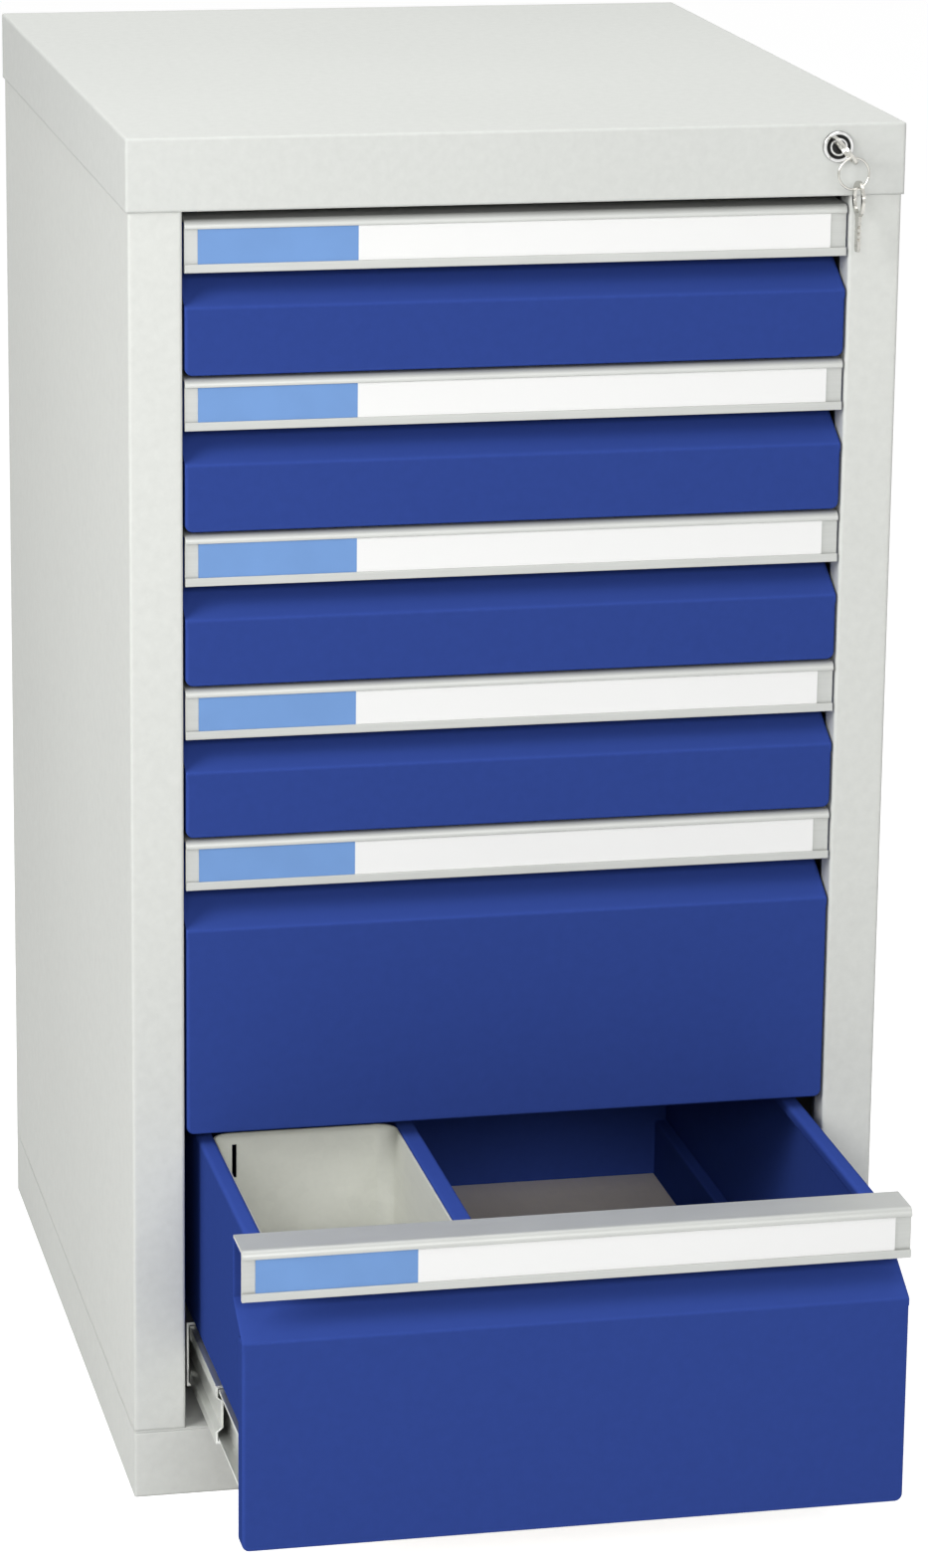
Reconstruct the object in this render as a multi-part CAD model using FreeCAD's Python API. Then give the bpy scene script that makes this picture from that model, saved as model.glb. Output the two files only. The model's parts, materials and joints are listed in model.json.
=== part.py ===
"""Free-standing steel drawer cabinet with six drawers under a capping cover.

Four small drawers stand above two large ones.  Each drawer runs on a pair of
three-member runners, has a full-width grip strip with a label, and is held
shut by pegs on a lock bar that the cylinder lock in the cover moves.
Millimetres.  X is the width, -Y the front, +Z up.  The origin is the centre of
the footprint on the floor.  The lowest drawer is drawn partly open.
"""
import FreeCAD
import Part
import math
import os

# Overall sizes
cabinet_width = 500.0
cabinet_depth = 600.0
plinth_height = 45.0
cover_height = 46.0

# Drawer stack, from the top down
small_drawers = 4
large_drawers = 2
small_pitch = 100.0
large_pitch = 200.0
front_gap = 2.0
top_gap = 6.0
bottom_gap = 5.0
rest_pull = 210.0

# Sheet thicknesses and fits
body_sheet = 1.5
cover_sheet = 1.2
drawer_sheet = 1.2
cover_clearance = 0.3
fit_gap = 0.4
fold_radius = 1.6

# Carcass
stile_width = 34.0
stile_return = 20.0
rear_flange = 20.0
plinth_flange = 20.0
upright_width = 30.0
upright_inset = 6.5
upright_clear = 8.0
front_upright_setback = 75.0
rear_upright_setback = 68.0

# Drawer fronts
front_side_gap = 1.5
front_flange = 14.0
front_corner_radius = 5.0
small_finger_opening = 22.0
large_finger_opening = 27.0
recess_depth = 33.0
recess_rise = 18.0
roof_flange = 26.0

# Grip strip and label
strip_height = 33.0
strip_plate = 2.0
strip_depth = 32.0
strip_wall = 4.0
strip_nose_radius = 5.0
top_lip = 5.5
bottom_lip = 5.5
label_thickness = 1.0
label_tuck = 1.0
label_slack = 0.1
label_left_margin = 8.5
label_right_margin = 10.5

# Drawer boxes
box_length = 575.0
wall_drop = 6.0
rim_width = 11.0
rim_depth = 7.0
rim_radius = 3.0
wall_side_clearance = 4.5
floor_rise = 14.0
floor_flange = 12.0
partition_from_left = 126.0
partition_width = 12.0
partition_drop = 3.0
liner_reach = 243.0
liner_sheet = 1.2
liner_drop = 4.0
liner_corner_radius = 12.0
liner_slot_width = 3.0
liner_slot_length = 23.0
liner_slot_offset = 14.0
liner_slot_drop = 8.0

# Runners
runner_height = 45.0
runner_thickness = 12.7
runner_length = 520.0
runner_front_gap = 1.0
runner_rise = 11.0
member_sheet = 1.5
track_sheet = 2.0
track_height = 8.0
web_recess = 3.5
web_slope = 3.0

# Lock
lock_edge_distance = 9.5
lock_drop = 14.5
lock_flange_radius = 10.0
lock_flange_thickness = 2.0
barrel_radius = 9.0
barrel_length = 20.0
barrel_clearance = 0.1
plug_radius = 6.0
plug_clearance = 0.08
plug_proud = 0.5
nut_flats = 21.0
nut_thickness = 3.0
cam_reach = 8.0
cam_thickness = 2.0
cam_half_width = 4.0
cam_pin_radius = 2.0
cam_gap = 1.0
cam_swing = 90.0
lock_notch_width = 8.0
lock_notch_height = 34.0

# Lock bar, its guides and the catches on the drawers
bar_thickness = 4.0
bar_width = 24.0
bar_gap_from_stile = 5.0
bar_floor_clearance = 2.0
yoke_thickness = 3.0
yoke_wall = 4.0
yoke_slack = 0.6
peg_height = 6.0
peg_depth = 6.0
peg_wall_gap = 2.0
catch_height = 8.0
catch_depth = 6.0
catch_rise = 66.0
catch_reach = 8.0
catch_gap = 3.0
peg_clearance = 1.5
guide_height = 14.0
guide_sheet = 1.5
guide_count = 3

# Keys and ring
key_thickness = 2.0
key_blade_height = 6.6
key_blade_length = 20.0
key_slack = 0.2
key_bow_radius = 11.5
key_bow_rim = 3.2
key_neck = 3.0
key_shank_margin = 0.8
key_rest_angle = 51.0
ring_radius = 10.0
ring_wire_radius = 0.75
ring_gap = 0.1
spare_key_offset = 3.7

# Worked out from the sizes above
vector = FreeCAD.Vector
body_half_width = cabinet_width / 2 - cover_sheet - cover_clearance
body_half_depth = cabinet_depth / 2 - cover_sheet - cover_clearance
pitches = [small_pitch] * small_drawers + [large_pitch] * large_drawers
stack_height = sum(pitches) - front_gap
stack_top = plinth_height + bottom_gap + stack_height
cabinet_height = stack_top + top_gap + cover_height
opening_half = body_half_width - stile_width
front_half = opening_half - front_side_gap
front_face = -body_half_depth
runner_outer = opening_half - upright_inset
runner_inner = runner_outer - runner_thickness
upper_wall = runner_outer - wall_side_clearance
step_rise = runner_rise + runner_height + fit_gap
runner_setback = recess_depth + drawer_sheet + runner_front_gap
deck_top = plinth_height + body_sheet
body_top = cabinet_height - cover_sheet
lock_x = opening_half - lock_edge_distance
lock_z = cabinet_height - lock_drop
cover_face = -cabinet_depth / 2
cam_back = cover_face + cover_sheet + barrel_length + cam_gap + cam_thickness
bar_inner = opening_half + body_sheet + bar_gap_from_stile
pin_lift = cam_reach * math.sin(math.radians(cam_swing / 2))
bar_front = cam_back + fit_gap
bar_back = bar_front + bar_width
bar_bottom = deck_top + bar_floor_clearance
peg_front = bar_back - peg_depth
key_hole_radius = key_bow_radius - key_bow_rim


def block(x, y, z):
    """A box from three (low, high) pairs."""
    return Part.makeBox(x[1] - x[0], y[1] - y[0], z[1] - z[0], vector(x[0], y[0], z[0]))


def joined(shapes):
    """One clean solid from overlapping or touching shapes."""
    first = shapes[0]
    return first.multiFuse(shapes[1:]).removeSplitter() if len(shapes) > 1 else first


def mirrored(shape):
    """The same shape on the other side of the cabinet."""
    return shape.mirror(vector(0, 0, 0), vector(1, 0, 0))


def rod(radius, length, start, direction):
    return Part.makeCylinder(radius, length, start, direction)


def rounded_face(points, to_vector):
    """A face inside a closed outline of (a, b, corner radius) points."""
    edges = []
    previous = None
    first = None
    count = len(points)
    for index in range(count):
        here = vector(points[index][0], points[index][1], 0)
        radius = points[index][2]
        before = vector(points[index - 1][0], points[index - 1][1], 0)
        after = vector(points[(index + 1) % count][0], points[(index + 1) % count][1], 0)
        back = (before - here).normalize()
        ahead = (after - here).normalize()
        half_angle = back.getAngle(ahead) / 2
        start, end = here, here
        if radius > 0:
            reach = radius / math.tan(half_angle)
            start = here + back * reach
            end = here + ahead * reach
            centre = here + (back + ahead).normalize() * (radius / math.sin(half_angle))
            middle = centre + (here - centre).normalize() * radius
        if previous is not None:
            edges.append(Part.makeLine(to_vector(previous), to_vector(start)))
        if radius > 0:
            edges.append(Part.Arc(to_vector(start), to_vector(middle), to_vector(end)).toShape())
        if first is None:
            first = start
        previous = end
    edges.append(Part.makeLine(to_vector(previous), to_vector(first)))
    return Part.Face(Part.Wire(edges))


def sheet_outline(path, thickness, radius):
    """Outline of a folded sheet: a path thickened to its left.

    A path point is (a, b), or (a, b, outer fold radius).
    """
    def normal(start, end):
        length = math.hypot(end[0] - start[0], end[1] - start[1])
        return (-(end[1] - start[1]) / length, (end[0] - start[0]) / length)

    near, far = [], []
    for index, point in enumerate(path):
        if index == 0 or index == len(path) - 1:
            n = normal(path[max(index - 1, 0)], path[max(index, 1)])
            near.append((point[0], point[1], 0))
            far.append((point[0] + n[0] * thickness, point[1] + n[1] * thickness, 0))
            continue
        n_in = normal(path[index - 1], point)
        n_out = normal(point, path[index + 1])
        scale = thickness / (1 + n_in[0] * n_out[0] + n_in[1] * n_out[1])
        left_turn = n_in[0] * n_out[1] - n_in[1] * n_out[0] > 0
        fold = point[2] if len(point) > 2 else radius
        inner = max(fold - thickness, 0.2)
        outer = inner + thickness
        near.append((point[0], point[1], outer if left_turn else inner))
        far.append((point[0] + (n_in[0] + n_out[0]) * scale,
                    point[1] + (n_in[1] + n_out[1]) * scale,
                    inner if left_turn else outer))
    return near + far[::-1]


def along_x(points, low, high):
    """A (y, z) outline pushed from x = low to x = high."""
    face = rounded_face(points, lambda p: vector(low, p.x, p.y))
    return face.extrude(vector(high - low, 0, 0))


def along_y(points, low, high):
    """An (x, z) outline pushed from y = low to y = high."""
    face = rounded_face(points, lambda p: vector(p.x, low, p.y))
    return face.extrude(vector(0, high - low, 0))


def along_z(points, low, high):
    """An (x, y) outline pushed from z = low to z = high."""
    face = rounded_face(points, lambda p: vector(p.x, p.y, low))
    return face.extrude(vector(0, 0, high - low))


def plain(points):
    """Outline points with sharp corners."""
    return [(a, b, 0) for a, b in points]


# Carcass

def plinth():
    """Ring frame of channel section, open side inward."""
    half_x, half_y = body_half_width, body_half_depth
    ring = block((-half_x, half_x), (-half_y, half_y), (0, plinth_height))
    corners = [edge for edge in ring.Edges
               if abs(edge.tangentAt(edge.FirstParameter).z) > 0.9]
    ring = ring.makeFillet(fold_radius, corners)
    inner_x, inner_y = half_x - body_sheet, half_y - body_sheet
    channel = block((-inner_x, inner_x), (-inner_y, inner_y),
                    (body_sheet, plinth_height - body_sheet))
    hole_x, hole_y = half_x - plinth_flange, half_y - plinth_flange
    opening = block((-hole_x, hole_x), (-hole_y, hole_y), (-1, plinth_height + 1))
    return ring.cut(channel).cut(opening)


def bottom_panel():
    """Flat floor of the carcass, over the whole footprint."""
    sheet = block((-body_half_width, body_half_width), (-body_half_depth, body_half_depth),
                  (plinth_height, deck_top))
    corners = [edge for edge in sheet.Edges
               if abs(edge.tangentAt(edge.FirstParameter).z) > 0.9]
    return sheet.makeFillet(fold_radius, corners)


def side_panel():
    """Right side: wall, front stile with its return, and rear flange."""
    path = [(body_half_width - rear_flange, body_half_depth),
            (body_half_width, body_half_depth),
            (body_half_width, front_face),
            (opening_half, front_face),
            (opening_half, front_face + stile_return)]
    outline = sheet_outline(path[::-1], body_sheet, fold_radius)
    panel = along_z(outline, deck_top, body_top)
    notch = block((opening_half - 1, opening_half + lock_notch_width),
                  (front_face - 1, front_face + stile_return + 1),
                  (body_top - lock_notch_height, body_top + 1))
    return panel.cut(notch)


def back_panel():
    """Flat back, held against the rear flanges of the sides."""
    half = body_half_width - body_sheet - fit_gap
    rear = body_half_depth - body_sheet
    return block((-half, half), (rear - body_sheet, rear), (deck_top, body_top))


def top_cover():
    """Capping tray turned down on all four sides, with the lock hole."""
    half_x, half_y = cabinet_width / 2, cabinet_depth / 2
    low = cabinet_height - cover_height
    tray = block((-half_x, half_x), (-half_y, half_y), (low, cabinet_height))
    outer = [edge for edge in tray.Edges
             if edge.BoundBox.ZMax > cabinet_height - 0.01]
    tray = tray.makeFillet(fold_radius, outer)
    inner_x, inner_y = half_x - cover_sheet, half_y - cover_sheet
    hollow = block((-inner_x, inner_x), (-inner_y, inner_y), (low - 1, body_top))
    lock_hole = rod(barrel_radius + barrel_clearance, 4 * cover_sheet,
                    vector(lock_x, cover_face - cover_sheet, lock_z), vector(0, 1, 0))
    return tray.cut(hollow).cut(lock_hole)


def runner_uprights():
    """Four channel posts inside the sides, which carry the fixed runners."""
    wall = body_half_width - body_sheet
    posts = []
    front_y = front_face + front_upright_setback
    rear_y = body_half_depth - rear_upright_setback - upright_width
    for low in (front_y, rear_y):
        high = low + upright_width
        path = [(wall, high), (runner_outer, high), (runner_outer, low), (wall, low)]
        outline = sheet_outline(path, body_sheet, fold_radius)
        post = along_z(outline, deck_top, stack_top - upright_clear)
        posts += [post, mirrored(post)]
    return Part.makeCompound(posts)


# Runners, drawn for the right side and mirrored

def channel(outer, inner, low, high, web, flange, opens_inward):
    """(x, z) outline of a C section between two x and two z values."""
    if opens_inward:
        points = [(outer, low), (outer, high), (inner, high), (inner, high - flange),
                  (outer - web, high - flange), (outer - web, low + flange),
                  (inner, low + flange), (inner, low)]
    else:
        points = [(inner, low), (inner, high), (outer, high), (outer, high - flange),
                  (inner + web, high - flange), (inner + web, low + flange),
                  (outer, low + flange), (outer, low)]
    return plain(points)


def middle_section(low, high, tip):
    """(x, z) outline of the middle member, its web set in between two tracks."""
    outer, inner = runner_outer - tip, runner_inner + tip
    web = outer - web_recess
    slope = track_height + web_slope
    outside = [(inner, low), (outer, low), (outer, low + track_height), (web, low + slope),
               (web, high - slope), (outer, high - track_height), (outer, high), (inner, high)]
    inside = [(inner, high - track_sheet), (outer - member_sheet, high - track_sheet),
              (outer - member_sheet, high - track_height), (web - member_sheet, high - slope),
              (web - member_sheet, low + slope), (outer - member_sheet, low + track_height),
              (outer - member_sheet, low + track_sheet), (inner, low + track_sheet)]
    return plain(outside + inside)


def runner_member(kind, base, pull):
    """One pair of runner members: fixed, middle or inner."""
    step = track_sheet + fit_gap
    tip = member_sheet + fit_gap
    if kind == "fixed":
        outline = channel(runner_outer, runner_outer - runner_thickness + 2 * tip,
                          base, base + runner_height, member_sheet, track_sheet, True)
        shift = 0
    elif kind == "middle":
        outline = middle_section(base + step, base + runner_height - step, tip)
        shift = pull / 2
    else:
        outline = channel(runner_outer - 2 * tip, runner_inner,
                          base + 2 * step, base + runner_height - 2 * step,
                          member_sheet, track_sheet, False)
        shift = pull
    front = front_face + runner_setback - shift
    member = along_y(outline, front, front + runner_length)
    return [member, mirrored(member)]


def fixed_runners(drawers):
    members = []
    for low, height, pull in drawers:
        members += runner_member("fixed", low + runner_rise, pull)
    return Part.makeCompound(members)


def lock_catch(low, pull):
    """Bracket on the right wall that the lock peg stops."""
    front = bar_back + catch_gap - pull
    return block((upper_wall, upper_wall + catch_reach), (front, front + catch_depth),
                 (low + catch_rise, low + catch_rise + catch_height))


# Drawers

def fold_level(low, height):
    """Height of the fold between the flat panel and the finger recess."""
    small = height < (small_pitch + large_pitch) / 2
    opening = small_finger_opening if small else large_finger_opening
    return low + height - strip_height - opening


def recess_path(face, fold, top):
    """(y, z) path down the finger recess, from its roof to the fold."""
    roof = top - strip_plate - drawer_sheet
    back = face + recess_depth
    return [(back - roof_flange, roof), (back, roof), (back, fold + recess_rise),
            (face, fold), (face, fold - front_corner_radius)]


def drawer_front(low, height, pull):
    """Folded front: flanged panel below, sloping finger recess above."""
    face = front_face - pull
    top = low + height
    fold = fold_level(low, height)
    panel = block((-front_half, front_half), (face, face + front_flange), (low, fold))
    bottom_corners = [edge for edge in panel.Edges
                      if abs(edge.tangentAt(edge.FirstParameter).y) > 0.9
                      and edge.BoundBox.ZMax < low + 1]
    panel = panel.makeFillet(front_corner_radius, bottom_corners)
    rim = [edge for edge in panel.Edges
           if edge.BoundBox.YMax < face + 0.01 and edge.BoundBox.ZMin < fold - 0.01]
    panel = panel.makeFillet(fold_radius, rim)
    inner = front_half - drawer_sheet
    hollow = block((-inner, inner), (face + drawer_sheet, face + front_flange + 1),
                   (low + drawer_sheet, fold + 1))
    hollow_corners = [edge for edge in hollow.Edges
                      if abs(edge.tangentAt(edge.FirstParameter).y) > 0.9
                      and edge.BoundBox.ZMax < low + drawer_sheet + 1]
    hollow = hollow.makeFillet(front_corner_radius - drawer_sheet, hollow_corners)
    panel = panel.cut(hollow)
    upper = sheet_outline(recess_path(face, fold, top), drawer_sheet, fold_radius)
    return joined([panel, along_x(upper, -front_half, front_half)])


def grip_strip(low, height, pull):
    """Aluminium section: top plate, rounded nose and label channel."""
    face = front_face - pull
    top = low + height
    bottom = top - strip_height
    floor = face + label_thickness * 2 + label_slack
    channel_top = top - top_lip + label_tuck
    channel_bottom = bottom + bottom_lip - label_tuck
    points = [(face, bottom, 0.6), (face, bottom + bottom_lip, 0.3),
              (face + label_thickness, bottom + bottom_lip, 0),
              (face + label_thickness, channel_bottom, 0), (floor, channel_bottom, 0),
              (floor, channel_top, 0), (face + label_thickness, channel_top, 0),
              (face + label_thickness, top - top_lip, 0), (face, top - top_lip, 0.3),
              (face, top, strip_nose_radius - 0.6), (face + strip_depth, top, 0.6),
              (face + strip_depth, top - strip_plate, 0.3),
              (face + strip_wall, top - strip_plate, 1.0), (face + strip_wall, bottom, 0.6)]
    return along_x(points, -front_half, front_half)


def label(low, height, pull):
    """Label insert in the channel of the grip strip."""
    face = front_face - pull + label_thickness + label_slack / 2
    top = low + height
    return block((-front_half + label_left_margin, front_half - label_right_margin),
                 (face, face + label_thickness),
                 (top - strip_height + bottom_lip - label_tuck + label_slack,
                  top - top_lip + label_tuck - label_slack))


def wall_path(low, height):
    """(x, z) path of the right wall, from the floor flange to the rim."""
    bottom = low + floor_rise
    step = low + step_rise
    top = low + height - wall_drop
    return [(runner_inner - floor_flange, bottom), (runner_inner, bottom),
            (runner_inner, step), (upper_wall, step), (upper_wall, top, rim_radius),
            (upper_wall - rim_width, top, rim_radius),
            (upper_wall - rim_width, top - rim_depth)]


def front_clearance(low, height, pull):
    """Solid that fills the finger recess and all in front of the front sheet."""
    face = front_face - pull
    top = low + height
    fold = fold_level(low, height)
    back = drawer_sheet + fit_gap
    lift = back * math.hypot(recess_depth, recess_rise) / recess_depth
    slope_end = face + recess_depth + back
    points = [(face - 1, low - 1), (face + back, low - 1), (face + back, fold - lift),
              (slope_end, fold + recess_rise - lift + recess_rise * back / recess_depth),
              (slope_end, top + 1), (face - 1, top + 1)]
    return along_x(plain(points), -cabinet_width / 2, cabinet_width / 2)


def drawer_walls(low, height, pull):
    """Side and back walls with their rolled rims, in one folded sheet."""
    face = front_face - pull
    rear = face + box_length
    bottom = low + floor_rise
    step = low + step_rise
    top = low + height - wall_drop
    side = along_y(sheet_outline(wall_path(low, height), drawer_sheet, fold_radius),
                   face, rear)
    back = joined([
        block((-runner_inner, runner_inner), (rear - drawer_sheet, rear), (bottom, step)),
        block((-upper_wall, upper_wall), (rear - drawer_sheet, rear),
              (step, top - rim_radius))])
    rim_path = [(rear, top - 2 * rim_radius), (rear, top), (rear - rim_width, top),
                (rear - rim_width, top - rim_depth)]
    rim = along_x(sheet_outline(rim_path, drawer_sheet, rim_radius), -upper_wall + rim_radius,
                  upper_wall - rim_radius)
    walls = joined([side, mirrored(side), back, rim])
    return walls.cut(front_clearance(low, height, pull))


def drawer_floor(low, height, pull):
    """Floor sheet on the wall flanges."""
    face = front_face - pull
    half = runner_inner - drawer_sheet - fit_gap
    level = low + floor_rise + drawer_sheet
    return block((-half, half), (face + drawer_sheet + fit_gap, face + box_length - drawer_sheet),
                 (level, level + drawer_sheet))


def partition(low, height, pull):
    """Lengthwise partition, folded over at the top."""
    face = front_face - pull
    left = -runner_inner + partition_from_left
    right = left + partition_width
    bottom = low + floor_rise + 2 * drawer_sheet
    top = low + height - wall_drop - partition_drop
    path = [(right, bottom), (right, top), (left, top), (left, bottom)]
    outline = sheet_outline(path, drawer_sheet, fold_radius)
    sheet = along_y(outline, face, face + box_length - rim_width - fit_gap)
    return sheet.cut(front_clearance(low, height, pull))


def bay_liner(low, height, pull):
    """Folded U-shaped liner of the left compartment, open to the front."""
    face = front_face - pull
    left = -upper_wall + rim_width + fit_gap
    right = -runner_inner + partition_from_left - fit_gap
    front = face + recess_depth + drawer_sheet + 2 * fit_gap
    rear = face + liner_reach
    bottom = low + floor_rise + 2 * drawer_sheet
    top = low + height - wall_drop - liner_drop
    path = [(right, front), (right, rear), (left, rear), (left, front)]
    liner = along_z(sheet_outline(path, liner_sheet, liner_corner_radius), bottom, top)
    slot_left = left + liner_slot_offset
    slot_top = top - liner_slot_drop
    slot = block((slot_left, slot_left + liner_slot_width), (rear - 2 * liner_sheet, rear + 1),
                 (slot_top - liner_slot_length, slot_top))
    return liner.cut(slot)


# Lock

def lock_housing():
    """Threaded barrel with its face flange, and the nut behind the cover."""
    y = vector(0, 1, 0)
    flange = rod(lock_flange_radius, lock_flange_thickness,
                 vector(lock_x, cover_face - lock_flange_thickness, lock_z), y)
    front_edge = [edge for edge in flange.Edges
                  if edge.BoundBox.YMax < cover_face - lock_flange_thickness + 0.01]
    flange = flange.makeFillet(lock_flange_thickness / 3, front_edge)
    barrel = rod(barrel_radius, cover_sheet + barrel_length,
                 vector(lock_x, cover_face, lock_z), y)
    bore = rod(plug_radius + plug_clearance, barrel_length + 20,
               vector(lock_x, cover_face - 10, lock_z), y)
    housing = joined([flange, barrel]).cut(bore)
    corner = nut_flats / 2 / math.cos(math.radians(30))
    hexagon = [(lock_x + corner * math.cos(math.radians(60 * i)),
                lock_z + corner * math.sin(math.radians(60 * i))) for i in range(6)]
    nut_front = cover_face + cover_sheet
    nut = along_y(plain(hexagon), nut_front, nut_front + nut_thickness)
    nut = nut.cut(rod(barrel_radius, 3 * nut_thickness,
                      vector(lock_x, nut_front - nut_thickness, lock_z), y))
    return Part.makeCompound([housing, nut])


def lock_plug():
    """Turning core with its keyway."""
    front = cover_face - lock_flange_thickness - plug_proud
    rear = cam_back - cam_thickness
    plug = rod(plug_radius, rear - front, vector(lock_x, front, lock_z), vector(0, 1, 0))
    half_t = key_thickness / 2 + key_slack
    half_h = key_blade_height / 2 + key_slack
    keyway = block((lock_x - half_h, lock_x + half_h),
                   (front - 1, front + key_blade_length + key_slack),
                   (lock_z - half_t, lock_z + half_t))
    keyway.rotate(vector(lock_x, 0, lock_z), vector(0, 1, 0), key_rest_angle)
    return plug.cut(keyway)


def lock_cam():
    """Lever on the end of the plug; its pin drives the lock bar."""
    angle = math.radians(cam_swing / 2)
    pin_x, pin_z = cam_reach * math.cos(angle), -cam_reach * math.sin(angle)
    y = vector(0, 1, 0)
    hub = rod(plug_radius, cam_thickness, vector(lock_x, cam_back - cam_thickness, lock_z), y)
    tip = rod(cam_half_width, cam_thickness,
              vector(lock_x + pin_x, cam_back - cam_thickness, lock_z + pin_z), y)
    arm = block((0, cam_reach), (cam_back - cam_thickness, cam_back),
                (-cam_half_width, cam_half_width))
    arm.rotate(vector(0, 0, 0), y, cam_swing / 2)
    arm.translate(vector(lock_x, 0, lock_z))
    pin = rod(cam_pin_radius, cam_thickness + fit_gap + yoke_thickness + 1,
              vector(lock_x + pin_x, cam_back - cam_thickness, lock_z + pin_z), y)
    return joined([hub, tip, arm, pin])


def lock_bar(drawers):
    """Upright bar with a slotted yoke at the top and one peg per drawer."""
    pin_z = lock_z - pin_lift
    slot_half = cam_pin_radius + yoke_slack
    yoke_top = pin_z + slot_half + yoke_wall / 2
    yoke_back = bar_front + yoke_thickness
    pin_low = cam_reach * math.cos(math.radians(cam_swing / 2)) - cam_pin_radius - yoke_slack
    pin_high = cam_reach + cam_pin_radius + yoke_slack
    bar = block((bar_inner, bar_inner + bar_thickness), (bar_front, bar_back),
                (bar_bottom, yoke_top))
    yoke = block((lock_x + pin_low - yoke_wall, bar_inner + 1), (bar_front, yoke_back),
                 (pin_z - slot_half - yoke_wall, yoke_top))
    slot = block((lock_x + pin_low, lock_x + pin_high), (bar_front - 1, yoke_back + 1),
                 (pin_z - slot_half, pin_z + slot_half))
    pegs = []
    for low, height, pull in drawers:
        level = low + catch_rise - peg_clearance - peg_height
        pegs.append(block((upper_wall + peg_wall_gap, bar_inner + 1), (peg_front, bar_back),
                          (level, level + peg_height)))
    return joined([bar, yoke] + pegs).cut(slot)


def lock_bar_guides():
    """Clips on the stile's return that hold the lock bar upright."""
    base = opening_half + body_sheet
    outside = bar_inner + bar_thickness + fit_gap
    spacing = (stack_height - small_pitch) / guide_count
    clips = []
    for index in range(guide_count):
        level = stack_top - small_pitch / 2 - index * spacing
        around = block((base, outside + guide_sheet),
                       (bar_front - fit_gap - guide_sheet, peg_front - fit_gap),
                       (level, level + guide_height))
        tongue = block((base, base + guide_sheet), (front_face + 2 * body_sheet, bar_front),
                       (level, level + guide_height))
        inside = block((bar_inner - fit_gap, outside),
                       (bar_front - fit_gap, peg_front),
                       (level - 1, level + guide_height + 1))
        clips.append(joined([around, tongue]).cut(inside))
    return Part.makeCompound(clips)


# Keys

def key_shoulder():
    """Distance from the bow's centre to the shoulder at the blade's root."""
    half = key_blade_height / 2 + key_shank_margin
    return math.sqrt(key_bow_radius ** 2 - half ** 2) + key_neck


def key_profile():
    """(y, z) outline of the shank and blade, bow centre at 0, tip towards +y."""
    half = key_blade_height / 2
    shank = half + key_shank_margin
    shoulder = key_shoulder()
    tip = shoulder + key_blade_length
    tooth = key_blade_length / 5
    points = [(0, -shank), (shoulder, -shank), (shoulder, -half)]
    for index in range(3):
        y = shoulder + tooth * (index + 0.7)
        points += [(y, -half), (y + tooth * 0.3, -half + 1.1), (y + tooth * 0.6, -half)]
    points += [(tip - 2, -half), (tip, -half + 2), (tip, half - 1), (tip - 1, half),
               (shoulder, half), (shoulder, shank), (0, shank)]
    return points


def flat_key():
    """A key in the Y-Z plane, with the centre of its open bow at the origin."""
    half = key_thickness / 2
    x = vector(1, 0, 0)
    blade = along_x(plain(key_profile()), -half, half)
    bow = rod(key_bow_radius, key_thickness, vector(-half, 0, 0), x)
    hole = rod(key_hole_radius, 3 * key_thickness, vector(-1.5 * key_thickness, 0, 0), x)
    return joined([bow, blade]).cut(hole)


def key_centre():
    """Centre of the bow of the key in the lock: its shoulder rests on the plug."""
    plug_face = cover_face - lock_flange_thickness - plug_proud
    return vector(lock_x, plug_face - key_shoulder(), lock_z)


def key():
    """The key in the lock, tilted down to the right."""
    shape = flat_key()
    shape.rotate(vector(0, 0, 0), vector(0, 1, 0), 90 + key_rest_angle)
    shape.translate(key_centre())
    return shape


def ring_pivot():
    """Middle of the bow's rim at the lower right, on which the ring hangs."""
    angle = math.radians(key_rest_angle)
    reach = key_bow_radius - key_bow_rim / 2
    return key_centre() + vector(reach * math.cos(angle), 0, -reach * math.sin(angle))


def ring_centre():
    """Centre of the hanging ring: its wire clears the corners of the bow's rim."""
    rim_reach = math.hypot(key_bow_rim, key_thickness) / 2 + ring_gap
    return ring_pivot() - vector(0, 0, ring_radius - ring_wire_radius - rim_reach)


def key_ring():
    return Part.makeTorus(ring_radius, ring_wire_radius, ring_centre(), vector(0, 1, 0))


def spare_centre():
    """Centre of the spare key's bow, hanging on the ring right of its lowest point."""
    inside = ring_radius - ring_wire_radius
    reach = spare_key_offset + key_thickness / 2
    drop = math.sqrt(inside ** 2 - reach ** 2) - ring_gap + key_hole_radius
    return ring_centre() + vector(spare_key_offset, 0, -drop)


def spare_key():
    """Second key, hanging from the ring with its blade down."""
    shape = flat_key()
    shape.rotate(vector(0, 0, 0), vector(1, 0, 0), -90)
    shape.translate(spare_centre())
    return shape


def drawer_places():
    """(underside of the front, height of the front, pull) from the top down."""
    places = []
    top = stack_top
    for index, pitch in enumerate(pitches):
        height = pitch - front_gap
        pull = rest_pull if index == len(pitches) - 1 else 0
        places.append((top - height, height, pull))
        top -= pitch
    return places


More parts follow.
